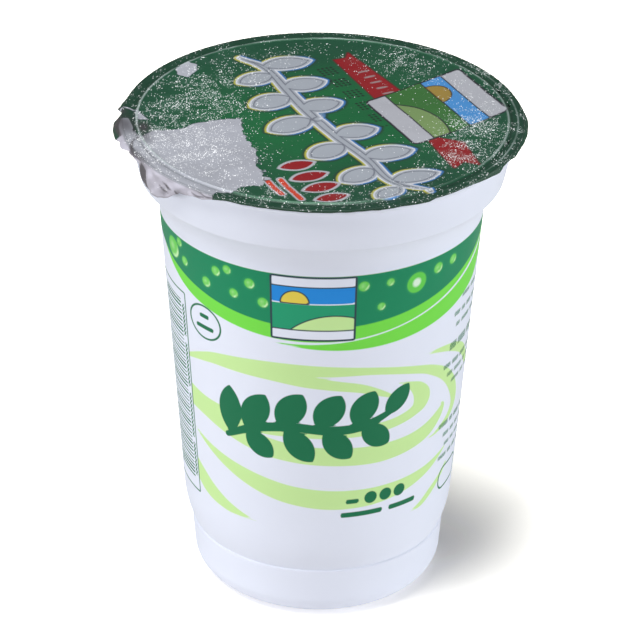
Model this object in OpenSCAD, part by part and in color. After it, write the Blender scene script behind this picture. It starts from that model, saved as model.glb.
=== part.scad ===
// Sealed yogurt pot: a thermoformed cup, full to the rim, under a heat-sealed foil lid.
// The origin is the centre of the standing face, +Z points up and the front is -Y.

/* [Cup] */
// Height of the cup, from the standing face to the top of its rim
cup_h = 95.1; // [80:0.1:115]
// Outer radius of the rim
rim_r = 37.2; // [31:0.1:45]
// Thickness of the rim
rim_t = 1.1; // [0.8:0.1:2]
// How far the rim stands out from the neck below it
rim_w = 1.3; // [0.8:0.1:3]
// Rounding of the rim's outer edge
rim_round = 0.35; // [0.1:0.05:0.4]

/* [Neck] */
// Height of the neck, from its lower edge to the top of the rim
neck_h = 9.8; // [6:0.1:14]
// How much narrower the neck is at its lower edge than under the rim
neck_taper = 1.8; // [0.5:0.1:3]
// Height of the cove that leads from the neck to the printed wall
cove_h = 7.2; // [4:0.1:10]
// How far the cove draws in
cove_w = 3.7; // [1:0.1:5]

/* [Wall] */
// How much narrower the printed wall is at its foot than at its top
wall_taper = 4.5; // [2:0.1:6]
// Height of the turned-in band under the printed wall
band_h = 8; // [5:0.1:11]
// How far that band turns in
band_w = 1.6; // [0.5:0.1:3]

/* [Foot] */
// Height of the foot, from the standing face to the groove above it
foot_h = 11.4; // [8:0.1:16]
// How much narrower the foot is at its rounding than at the groove
foot_taper = 0.5; // [0:0.1:1.5]
// Radius of the rounding between the foot and the standing face
foot_round = 5.4; // [2:0.1:7]
// Width of the flat ring that the cup stands on
ring_w = 1.9; // [1:0.1:5]
// Depth of the hollow inside that ring
hollow_d = 1; // [0.5:0.1:2]

/* [Foil] */
// Thickness of the foil
foil_t = 0.3; // [0.2:0.05:0.5]
// Running gap between the foil's skirt and the rim
foil_gap = 0.05; // [0.03:0.01:0.2]
// Distance from the rim's edge in to the ridge that the sealing tool leaves
ridge_in = 2.7; // [2:0.1:5]
// Height of that ridge
ridge_h = 0.25; // [0.1:0.05:0.5]
// How far the skirt hangs below the top of the rim
skirt_drop = 0.35; // [0.2:0.05:1.5]
// How much the skirt's cut edge wanders up and down
skirt_wave = 0.15; // [0:0.05:0.15]

/* [Folded tab] */
// Direction of the tab that is folded down, counted from +X towards +Y
tab_at = 211; // [0:1:359]
// Half of the angle that the tab takes
tab_half = 12; // [6:1:20]
// How far the tab hangs below the skirt
tab_drop = 4; // [2:0.1:6]
// How far the tab stands out at its end
tab_flare = 0.7; // [0.2:0.1:1.5]

/* [Lifted edges] */
// Directions of the stretches where the foil's edge stands off the rim
lift_at = [174, 356]; // [0:1:359]
// Half of the angle that each of them takes
lift_half = [16, 30]; // [6:1:40]
// How far the edge stands out in each of them
lift_flare = [0.7, 0.8]; // [0:0.1:1.5]
// How far the edge hangs below the skirt in each of them
lift_drop = [0.5, 1.3]; // [0:0.1:3]

/* [Hidden] */
// Segments of the cup, and of one of its rounded corners or coves
cup_fn = 180;
curve_n = 8;
// Sections of the foil around its edge
foil_n = 120;

// Heights of the cup, from the top down
rim_z = cup_h - rim_t;
neck_z = cup_h - neck_h;
wall_top_z = neck_z - cove_h;
wall_low_z = foot_h + band_h;

// Radii of the cup, from the top down
neck_top_r = rim_r - rim_w;
neck_low_r = neck_top_r - neck_taper;
wall_top_r = neck_low_r - cove_w;
wall_low_r = wall_top_r - wall_taper;
foot_top_r = wall_low_r - band_w;
foot_low_r = foot_top_r - foot_taper;
ring_out_r = foot_low_r - foot_round;
ring_in_r = ring_out_r - ring_w;

// Narrowing of the printed wall for each millimetre of height
wall_slope = wall_taper / (wall_top_z - wall_low_z);

// Quadratic curve from a to c that starts towards b; a itself is left out
function curve(a, b, c, n) = [
    for (i = [1:n])
        let (t = i / n)
        (1 - t) * (1 - t) * a + 2 * t * (1 - t) * b + t * t * c
];

// Arc about m of radius r between two angles
function arc(m, r, from, to, n) = [
    for (i = [0:n])
        let (t = from + (to - from) * i / n)
        m + r * [cos(t), sin(t)]
];

// A point that carries the printed wall's line on past one of its ends
function past_wall(end_r, end_z, rise) = [end_r + wall_slope * rise, end_z + rise];

// Half outline of the cup as [radius, height], from the base's middle to the rim's
function cup_outline() = concat(
    [[0, hollow_d], [ring_in_r - hollow_d, hollow_d], [ring_in_r, 0]],
    arc([ring_out_r, foot_round], foot_round, -90, 0, curve_n),
    [[foot_top_r, foot_h]],
    curve([foot_top_r, foot_h],
          past_wall(wall_low_r, wall_low_z, -0.6 * band_h),
          [wall_low_r, wall_low_z], curve_n),
    [[wall_top_r, wall_top_z]],
    curve([wall_top_r, wall_top_z],
          past_wall(wall_top_r, wall_top_z, 0.6 * cove_h),
          [neck_low_r, neck_z], curve_n),
    [[neck_top_r, rim_z]],
    arc([rim_r - rim_round, rim_z + rim_round], rim_round, -90, 0, 3),
    arc([rim_r - rim_round, cup_h - rim_round], rim_round, 0, 90, 3),
    [[0, cup_h]]
);

module cup() {
    color([0.94, 0.95, 0.98])
        rotate_extrude($fn = cup_fn)
            polygon(cup_outline());
}

// Smallest angle between two directions
function apart(a, b) = abs((a - b + 540) % 360 - 180);

// 1 around a direction, falling to 0 past the given half angle
function swell(a, at, half) = 1 / (1 + pow(apart(a, at) / half, 6));

// Uneven wave around the foil, between about -1 and 1
function wander(a) = 0.5 * sin(9 * a + 20) + 0.3 * sin(17 * a + 110) + 0.2 * sin(23 * a + 45);

// Share of each lifted edge, weighted by one of their sizes
function lifted(a, sizes) =
    sizes[0] * swell(a, lift_at[0], lift_half[0]) + sizes[1] * swell(a, lift_at[1], lift_half[1]);

// How far the skirt's cut edge hangs below the rim's top in one direction
function drop(a) =
    skirt_drop + skirt_wave * wander(a) + tab_drop * swell(a, tab_at, tab_half)
    + lifted(a, lift_drop);

// How far the skirt's cut edge stands out from its bend in one direction
function flare(a) = tab_flare * swell(a, tab_at, tab_half) + lifted(a, lift_flare);

// One section of the foil as [radius, height]: over the top, down the skirt and back under
ridge_r = rim_r - ridge_in;
foil_top = cup_h + foil_t;
bend_r = rim_r + foil_gap;
function foil_section(a) = [
    [ridge_r - 4 * foil_t, foil_top],
    [ridge_r - foil_t, foil_top + ridge_h / 2],
    [ridge_r, foil_top + ridge_h],
    [ridge_r + foil_t, foil_top + ridge_h / 2],
    [ridge_r + 3 * foil_t, foil_top],
    [bend_r, foil_top],
    [bend_r + foil_t, foil_top - foil_t],
    [bend_r + foil_t + 0.6 * flare(a), cup_h - drop(a) / 2],
    [bend_r + foil_t + flare(a), cup_h - drop(a)],
    [bend_r + flare(a), cup_h - drop(a)],
    [bend_r + 0.6 * flare(a), cup_h - drop(a) / 2],
    [bend_r, cup_h]
];

module foil_lid() {
    ring_n = len(foil_section(0));
    edge = [
        for (i = [0:foil_n - 1])
            let (a = i * 360 / foil_n)
            for (p = foil_section(a))
                [p[0] * cos(a), p[0] * sin(a), p[1]]
    ];
    top = len(edge);
    bottom = top + 1;
    function at(i, k) = (i % foil_n) * ring_n + k;
    sides = [
        for (i = [0:foil_n - 1], k = [0:ring_n - 2])
            for (f = [[at(i, k), at(i, k + 1), at(i + 1, k + 1)],
                      [at(i, k), at(i + 1, k + 1), at(i + 1, k)]])
                f
    ];
    caps = [
        for (i = [0:foil_n - 1])
            for (f = [[top, at(i, 0), at(i + 1, 0)],
                      [bottom, at(i + 1, ring_n - 1), at(i, ring_n - 1)]])
                f
    ];
    color([0.16, 0.42, 0.26])
        polyhedron(concat(edge, [[0, 0, foil_top], [0, 0, cup_h]]), concat(sides, caps));
}

cup();
foil_lid();
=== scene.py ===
"""Sealed yogurt pot: a printed plastic cup under a crinkled, lacquered foil lid.

Sizes in the classes are millimetres, as on a drawing of the pot, and meshes are metres.
Directions around the pot are degrees from its front (-Y), growing towards +X.
"""
import logging
import math
from dataclasses import dataclass
from enum import Enum

import bpy
import numpy as np
from mathutils import Euler, Matrix, Vector


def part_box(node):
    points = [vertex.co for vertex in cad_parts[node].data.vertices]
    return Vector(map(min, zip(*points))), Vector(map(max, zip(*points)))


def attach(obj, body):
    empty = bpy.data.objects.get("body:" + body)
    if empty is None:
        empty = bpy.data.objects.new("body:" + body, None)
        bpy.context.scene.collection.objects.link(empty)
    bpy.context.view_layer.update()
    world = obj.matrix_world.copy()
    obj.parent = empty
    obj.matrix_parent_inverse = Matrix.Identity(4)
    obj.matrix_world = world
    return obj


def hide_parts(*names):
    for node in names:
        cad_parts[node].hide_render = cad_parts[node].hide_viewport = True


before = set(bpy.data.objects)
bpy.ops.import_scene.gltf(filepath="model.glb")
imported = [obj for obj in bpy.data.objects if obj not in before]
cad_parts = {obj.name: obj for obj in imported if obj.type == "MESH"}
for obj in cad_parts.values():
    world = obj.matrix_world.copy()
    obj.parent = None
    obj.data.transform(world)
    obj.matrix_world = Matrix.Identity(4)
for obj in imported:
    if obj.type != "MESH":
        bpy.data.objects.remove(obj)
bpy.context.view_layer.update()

LOG = logging.getLogger("yogurt_pot")
Array = np.ndarray
Colour = tuple[float, float, float]
Pair = tuple[float, float]
Knot = tuple[float, float, float]
Piece = bpy.types.Object
Tree = bpy.types.NodeTree
Node = bpy.types.Node
Socket = bpy.types.NodeSocket
MM = 0.001


class Part(Enum):
    """The two pieces of the pot, by the name of the CAD node that each one replaces."""

    CUP = "cup"
    FOIL = "foil_lid"


# ---------------------------------------------------------------- outlines and fields


def smooth_path(knots: Array, steps: int) -> Array:
    """Carry a Catmull-Rom curve through knots of any width.

    Each span between knots b and c, with neighbours a and d, is the cubic
    b + t/2 (c - a) + t^2/2 (2a - 5b + 4c - d) + t^3/2 (3b - a - 3c + d).

    Args:
        knots: One row for each knot; the columns may be places and widths.
        steps: Points on each span.

    Returns:
        The points along the curve, one row each.
    """
    padded = np.vstack([2 * knots[0] - knots[1], knots, 2 * knots[-1] - knots[-2]])
    a, b, c, d = (padded[i:len(padded) - 3 + i, None, :] for i in range(4))
    t = (np.arange(steps) / steps)[None, :, None]
    spans = b + t / 2 * (c - a) + t**2 / 2 * (2 * a - 5 * b + 4 * c - d)
    spans = spans + t**3 / 2 * (3 * b - a - 3 * c + d)
    return np.vstack([spans.reshape(-1, knots.shape[1]), knots[-1:]])


def disc(x: Array, y: Array, at: Pair, radius: float) -> Array:
    """Signed distance to a disc: distance from its middle, less its radius."""
    return np.hypot(x - at[0], y - at[1]) - radius


def ellipse(x: Array, y: Array, at: Pair, half: Pair, turn: float = 0.0) -> Array:
    """Signed distance near an ellipse's edge.

    With k the place's share of the half axes, it is (k - 1) over the gradient's length.

    Args:
        x: Places across.
        y: Places up.
        at: Middle of the ellipse.
        half: Its two half axes.
        turn: Its turn in degrees, counter-clockwise.

    Returns:
        The distance, negative inside.
    """
    c, s = math.cos(math.radians(turn)), math.sin(math.radians(turn))
    u = c * (x - at[0]) + s * (y - at[1])
    v = -s * (x - at[0]) + c * (y - at[1])
    share = np.hypot(u / half[0], v / half[1]) + 1e-9
    slope = np.hypot(u / half[0]**2, v / half[1]**2) / share + 1e-9
    return (share - 1) / slope


def slab(x: Array, y: Array, at: Pair, half: Pair, rounding: float) -> Array:
    """Signed distance to a rectangle with rounded corners."""
    dx = np.abs(x - at[0]) - half[0] + rounding
    dy = np.abs(y - at[1]) - half[1] + rounding
    return np.hypot(np.maximum(dx, 0), np.maximum(dy, 0)) + np.minimum(np.maximum(dx, dy), 0) - rounding


def stroke(x: Array, y: Array, knots: list[Knot], steps: int = 6) -> Array:
    """Signed distance to a brush stroke whose width changes along a smooth path.

    It is the least, over the path's short pieces, of the distance to the piece less the
    half width there.

    Args:
        x: Places across.
        y: Places up.
        knots: Places along the middle with the half width at each.
        steps: Pieces between two knots.

    Returns:
        The distance, negative inside.
    """
    path = smooth_path(np.array(knots, float), steps)
    best = np.full(x.shape, np.inf)
    for (ax, ay, aw), (bx, by, bw) in zip(path[:-1], path[1:]):
        ex, ey = bx - ax, by - ay
        t = np.clip(((x - ax) * ex + (y - ay) * ey) / (ex * ex + ey * ey + 1e-12), 0, 1)
        best = np.minimum(best, np.hypot(x - ax - t * ex, y - ay - t * ey) - (aw + t * (bw - aw)))
    return best


def leaf(x: Array, y: Array, base: Pair, tip: Pair, half: float) -> Array:
    """Signed distance to a leaf: the overlap of two equal discs between base and tip."""
    mx, my = (base[0] + tip[0]) / 2, (base[1] + tip[1]) / 2
    ux, uy = tip[0] - base[0], tip[1] - base[1]
    length = math.hypot(ux, uy)
    radius = (length**2 / 4 + half**2) / (2 * half)
    nx, ny = -uy / length * (radius - half), ux / length * (radius - half)
    return np.maximum(np.hypot(x - mx - nx, y - my - ny), np.hypot(x - mx + nx, y - my + ny)) - radius


def polygon(x: Array, y: Array, corners: list[Pair]) -> Array:
    """Signed distance to a polygon, by its nearest side and by counting the sides crossed."""
    best = np.full(x.shape, np.inf)
    inside = np.zeros(x.shape, bool)
    for (ax, ay), (bx, by) in zip(corners, corners[1:] + corners[:1]):
        ex, ey = bx - ax, by - ay
        t = np.clip(((x - ax) * ex + (y - ay) * ey) / (ex * ex + ey * ey + 1e-12), 0, 1)
        best = np.minimum(best, np.hypot(x - ax - t * ex, y - ay - t * ey))
        crosses = ((ay > y) != (by > y)) & (x < ex * (y - ay) / (ey if ey else 1e-12) + ax)
        inside ^= crosses
    return np.where(inside, -best, best)


def merge(*shapes: Array) -> Array:
    """Signed distance to several shapes together: the least of theirs."""
    return np.minimum.reduce(shapes)


def swell(angle: Array, at: float, half: float, sharp: float = 6.0) -> Array:
    """1 around a direction, falling to 0 past a half angle: 1 / (1 + (apart / half)^sharp)."""
    apart = np.abs((angle - at + 540) % 360 - 180)
    return 1 / (1 + (apart / half)**sharp)


def ripples(angle: Array, along: Array, seed: int, turns: tuple[int, int], runs: float,
            count: int) -> Array:
    """Uneven ripples that close up around the pot.

    They are a sum of cosines of (n angle + m along + phase), with whole n, so that the
    ends meet, and each one weaker as its n grows.

    Args:
        angle: Directions in degrees.
        along: Places across the ripples' other way, in millimetres.
        seed: Seed of the random draws.
        turns: Fewest and most waves around the pot.
        runs: Most waves for each millimetre along.
        count: How many cosines are added.

    Returns:
        Heights, mostly between -1 and 1.
    """
    draw = np.random.default_rng(seed)
    total = np.zeros(np.broadcast(angle, along).shape)
    weight = 0.0
    for _ in range(count):
        n = int(draw.integers(turns[0], turns[1] + 1))
        m = draw.uniform(-runs, runs) * 2 * math.pi
        size = (turns[0] / n)**0.5
        total += size * np.cos(np.radians(n * angle) + m * along + draw.uniform(0, 2 * math.pi))
        weight += size * size
    return total / math.sqrt(weight * 2)


def plane_ripples(x: Array, y: Array, seed: int, length: Pair, count: int) -> Array:
    """Uneven ripples over a flat sheet: a sum of straight waves in random directions.

    Args:
        x: Places across in millimetres.
        y: Places up in millimetres.
        seed: Seed of the random draws.
        length: Shortest and longest wave in millimetres.
        count: How many waves are added.

    Returns:
        Heights, mostly between -1 and 1.
    """
    draw = np.random.default_rng(seed)
    total = np.zeros(x.shape)
    for _ in range(count):
        way = draw.uniform(0, 2 * math.pi)
        wave = 2 * math.pi / draw.uniform(*length)
        total += np.cos(wave * (x * math.cos(way) + y * math.sin(way)) + draw.uniform(0, 2 * math.pi))
    return total / math.sqrt(count / 2)


@dataclass(frozen=True)
class Picture:
    """A plain sunrise between two bare white strips: sky, half a sun, a green field and a hill.

    Its own places run across and up from its middle.
    """

    half_w: float
    half_h: float
    strip: float
    sky: float
    sun_x: float
    sun_r: float
    rounding: float = 0.15

    def fields(self, name: str, u: Array, v: Array) -> dict[str, Array]:
        """The picture's distances.

        The strips and the sky are level bands, the sun is the upper half of a disc on the
        skyline, and the hill is the top of a disc whose middle lies under the picture.

        Args:
            name: What the distances' names begin with.
            u: Places across from the picture's middle.
            v: Places up from the picture's middle.

        Returns:
            Named distances, negative where there is ink.
        """
        whole = slab(u, v, (0, 0), (self.half_w, self.half_h), self.rounding)
        inner = self.half_h - self.strip
        skyline = inner - self.sky
        hill_r = 1.5 * self.half_w
        hill = disc(u, v, (0.5 * self.half_w, -0.3 * inner - hill_r), hill_r)
        sun = np.maximum(disc(u, v, (self.sun_x, skyline), self.sun_r), skyline - v)
        return {
            name: whole,
            name + "_strip": np.maximum(inner - np.abs(v), whole),
            name + "_sky": np.maximum(skyline - v, whole),
            name + "_sun": np.maximum(sun, whole),
            name + "_hill": np.maximum(hill, whole),
        }


# ---------------------------------------------------------------- meshes


def turned_piece(name: str, rows: Array, low: Array, high: Array, fields: dict[str, Array]) -> Piece:
    """Make a closed piece from rings of points between two poles.

    Point (i, j) of ring i joins its neighbours by quads, the last column joins the first,
    and each pole joins its nearest ring by triangles.

    Args:
        name: Name of the piece.
        rows: Rings of points, shape (rings, columns, 3), bottom inside to top inside.
        low: The pole under the first ring.
        high: The pole over the last ring.
        fields: Values for each ring point, kept as attributes; poles take the ring's mean.

    Returns:
        The new object, smooth shaded, at the origin.
    """
    rings, columns = rows.shape[:2]
    points = np.vstack([rows.reshape(-1, 3), low, high])
    i, j = np.meshgrid(np.arange(rings - 1), np.arange(columns), indexing="ij")
    after = (j + 1) % columns
    quads = np.stack([i * columns + j, i * columns + after, (i + 1) * columns + after,
                      (i + 1) * columns + j], -1)
    around = np.arange(columns)
    beside = (around + 1) % columns
    under = np.full(columns, rings * columns)
    last = (rings - 1) * columns
    fans = np.vstack([np.stack([under, beside, around], -1), np.stack([under + 1, last + around,
                                                                       last + beside], -1)])
    corners = np.concatenate([quads.reshape(-1), fans.reshape(-1)])
    sizes = np.concatenate([np.full(quads.size // 4, 4), np.full(len(fans), 3)])
    mesh = bpy.data.meshes.new(name)
    mesh.vertices.add(len(points))
    mesh.vertices.foreach_set("co", points.astype(np.float32).reshape(-1))
    mesh.loops.add(len(corners))
    mesh.loops.foreach_set("vertex_index", corners.astype(np.int32))
    mesh.polygons.add(len(sizes))
    mesh.polygons.foreach_set("loop_start", (np.cumsum(sizes) - sizes).astype(np.int32))
    mesh.polygons.foreach_set("use_smooth", np.ones(len(sizes), bool))
    for key, values in fields.items():
        layer = mesh.attributes.new(key, "FLOAT", "POINT")
        ends = [values[0].mean(), values[-1].mean()]
        layer.data.foreach_set("value", np.concatenate([values.reshape(-1), ends]).astype(np.float32))
    mesh.update(calc_edges=True)
    mesh.validate()
    piece = bpy.data.objects.new(name, mesh)
    bpy.context.collection.objects.link(piece)
    return piece


# ---------------------------------------------------------------- shader building


class Sheet:
    """A node tree with short calls that add nodes and join them."""

    def __init__(self, tree: Tree) -> None:
        """Keep the tree that the calls add to."""
        self.tree = tree

    def node(self, kind: str, **settings: object) -> Node:
        """Add a node and set its properties."""
        made = self.tree.nodes.new(kind)
        for key, value in settings.items():
            setattr(made, key, value)
        return made

    def put(self, socket: Socket, value: object) -> None:
        """Link a socket to an input, or set the input's own value."""
        if isinstance(value, Socket):
            self.tree.links.new(value, socket)
        elif isinstance(value, tuple) and len(value) == 3 and socket.type == "RGBA":
            socket.default_value = (*value, 1.0)
        else:
            socket.default_value = value

    def wire(self, kind: str, *values: object, out: int | str = 0, **settings: object) -> Socket:
        """Add a node, fill its first inputs in order and return one of its outputs."""
        made = self.node(kind, **settings)
        for socket, value in zip(made.inputs, values):
            self.put(socket, value)
        return made.outputs[out]

    def math(self, operation: str, a: object, b: object = 0.0, clamp: bool = False) -> Socket:
        """Add a math node and return its result."""
        return self.wire("ShaderNodeMath", a, b, operation=operation, use_clamp=clamp)

    def times(self, *values: object) -> Socket:
        """Multiply values together."""
        product = values[0]
        for value in values[1:]:
            product = self.math("MULTIPLY", product, value)
        return product

    def minus(self, a: object, b: object) -> Socket:
        """Subtract a value from another."""
        return self.math("SUBTRACT", a, b)

    def blend(self, share: object, under: object, over: object) -> Socket:
        """Mix two colours by a share and return the result."""
        made = self.node("ShaderNodeMix", data_type="RGBA")
        for key, value in (("Factor", share), (6, under), (7, over)):
            self.put(made.inputs[key], value)
        return made.outputs[2]

    def scale(self, value: object, low: float, high: float, to_low: object, to_high: object,
              smooth: bool = False) -> Socket:
        """Map a range of values onto another and return the result."""
        kind = "SMOOTHSTEP" if smooth else "LINEAR"
        return self.wire("ShaderNodeMapRange", value, low, high, to_low, to_high, interpolation_type=kind)

    def field(self, name: str) -> Socket:
        """Read one of the piece's attributes."""
        return self.node("ShaderNodeAttribute", attribute_name=name).outputs["Fac"]

    def place(self) -> Socket:
        """Read the place on the piece, in metres."""
        return self.node("ShaderNodeTexCoord").outputs["Object"]

    def place_mm(self, *axes: str) -> list[Socket]:
        """Read the place on the piece along some axes, in millimetres."""
        split = self.node("ShaderNodeSeparateXYZ")
        self.put(split.inputs[0], self.place())
        return [self.math("DIVIDE", split.outputs[axis], MM) for axis in axes]

    def bump(self, shader: Node, height: object, strength: float, distance: float) -> None:
        """Tilt a shader's surface by a height."""
        made = self.node("ShaderNodeBump")
        for key, value in (("Strength", strength), ("Distance", distance), ("Height", height)):
            self.put(made.inputs[key], value)
        self.put(shader.inputs["Normal"], made.outputs["Normal"])

    def noise(self, size_mm: float, detail: float = 2.0, roughness: float = 0.5,
              distortion: float = 0.0) -> Socket:
        """Add noise whose blobs are about the given size and return its value."""
        made = self.node("ShaderNodeTexNoise")
        for key, value in (("Vector", self.place()), ("Scale", 1 / (size_mm * MM)), ("Detail", detail),
                           ("Roughness", roughness), ("Distortion", distortion)):
            self.put(made.inputs[key], value)
        return made.outputs["Fac"]

    def group(self, tree: Tree, **values: object) -> Node:
        """Place a group and fill its inputs; underscores in the names stand for spaces."""
        made = self.node("ShaderNodeGroup", node_tree=tree)
        for key, value in values.items():
            self.put(made.inputs[key.replace("_", " ")], value)
        return made


def new_group(name: str, inputs: dict[str, tuple[str, object]],
              outputs: dict[str, str]) -> tuple[Tree, Sheet]:
    """Start a shader node group.

    Args:
        name: Name of the group.
        inputs: For each input, its kind of socket and its usual value.
        outputs: For each output, its kind of socket.

    Returns:
        The group and a sheet that draws in it.
    """
    tree = bpy.data.node_groups.new(name, "ShaderNodeTree")
    for key, (kind, usual) in inputs.items():
        socket = tree.interface.new_socket(key, in_out="INPUT", socket_type=kind)
        socket.default_value = usual
    for key, kind in outputs.items():
        tree.interface.new_socket(key, in_out="OUTPUT", socket_type=kind)
    return tree, Sheet(tree)


def ink_group() -> Tree:
    """Build the printed layer: ink where a distance is below a reach, with a soft edge.

    Returns:
        The group, which puts out the colour with the ink on it and the ink's mask.
    """
    grey = (0.5, 0.5, 0.5, 1.0)
    usual = {"Distance": 0.0, "Reach": 0.0, "Softness": 0.06, "Cover": 1.0}
    inputs = {key: ("NodeSocketColor", grey) for key in ("Under", "Ink")}
    inputs.update({key: ("NodeSocketFloat", value) for key, value in usual.items()})
    tree, sheet = new_group("printed_layer", inputs, {"Colour": "NodeSocketColor",
                                                      "Mask": "NodeSocketFloat"})
    given = sheet.node("NodeGroupInput").outputs
    past = sheet.math("SUBTRACT", given["Reach"], given["Distance"])
    share = sheet.math("DIVIDE", past, sheet.math("MULTIPLY", given["Softness"], 2.0))
    mask = sheet.math("MULTIPLY", sheet.math("ADD", share, 0.5, clamp=True), given["Cover"])
    result = sheet.node("NodeGroupOutput")
    sheet.put(result.inputs["Mask"], mask)
    sheet.put(result.inputs["Colour"], sheet.blend(mask, given["Under"], given["Ink"]))
    return tree


def grain_group() -> Tree:
    """Build surface unevenness: fine and broad bumps, and a slow tone.

    Returns:
        The group, which puts out a height and a slow tone between 0 and 1.
    """
    tree, sheet = new_group(
        "surface_grain",
        {"Fine": ("NodeSocketFloat", 0.3), "Broad": ("NodeSocketFloat", 1.0)},
        {"Height": "NodeSocketFloat", "Tone": "NodeSocketFloat"})
    given = sheet.node("NodeGroupInput").outputs
    fine = sheet.math("MULTIPLY", sheet.noise(0.35, 3.0), given["Fine"])
    broad = sheet.math("MULTIPLY", sheet.noise(7.0, 2.0), given["Broad"])
    result = sheet.node("NodeGroupOutput")
    sheet.put(result.inputs["Height"], sheet.math("ADD", fine, broad))
    sheet.put(result.inputs["Tone"], sheet.noise(16.0, 3.0, 0.6))
    return tree


def new_material(name: str) -> tuple[bpy.types.Material, Sheet, Node]:
    """Start a material and return it, a sheet that draws in it and its shader."""
    material = bpy.data.materials.new(name)
    material.use_nodes = True
    return material, Sheet(material.node_tree), material.node_tree.nodes["Principled BSDF"]


class Inks:
    """Inks laid one over another, each where a distance is under its reach."""

    def __init__(self, sheet: Sheet, layer: Tree, colour: object, soft: float) -> None:
        """Start from a bare colour, with the usual softness of an ink's edge."""
        self.sheet, self.layer, self.colour, self.soft = sheet, layer, colour, soft

    def over(self, tint: object, distance: object, reach: float = 0.0, soft: float | None = None,
             cover: object = 1.0) -> Socket:
        """Lay an ink over the colour so far.

        Args:
            tint: The ink's colour.
            distance: Distance from the shape, negative inside.
            reach: How far past the shape the ink goes, in millimetres.
            soft: Half width of its edge, or None for the usual one.
            cover: The ink's strength.

        Returns:
            The ink's mask.
        """
        made = self.sheet.group(self.layer, Under=self.colour, Ink=tint, Distance=distance, Reach=reach,
                                Softness=self.soft if soft is None else soft, Cover=cover).outputs
        self.colour = made["Colour"]
        return made["Mask"]

    def lay(self, name: str, tint: object, reach: float = 0.0, soft: float | None = None,
            cover: object = 1.0) -> None:
        """Lay an ink inside the shape that an attribute holds."""
        self.over(tint, self.sheet.field(name), reach, soft, cover)

    def line(self, name: str, tint: object, half: float, at: float = 0.0, soft: float | None = None,
             cover: object = 1.0) -> None:
        """Draw a line of a half width along a shape's edge, or beside it; its own edge is softer."""
        gap = self.sheet.math("ABSOLUTE", self.sheet.minus(self.sheet.field(name), at))
        self.over(tint, gap, half, self.soft + 0.02 if soft is None else soft, cover)

    def tint(self, share: object, colour: object) -> None:
        """Mix a colour into all of the colour so far."""
        self.colour = self.sheet.blend(share, self.colour, colour)


# ---------------------------------------------------------------- the cup


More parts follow.
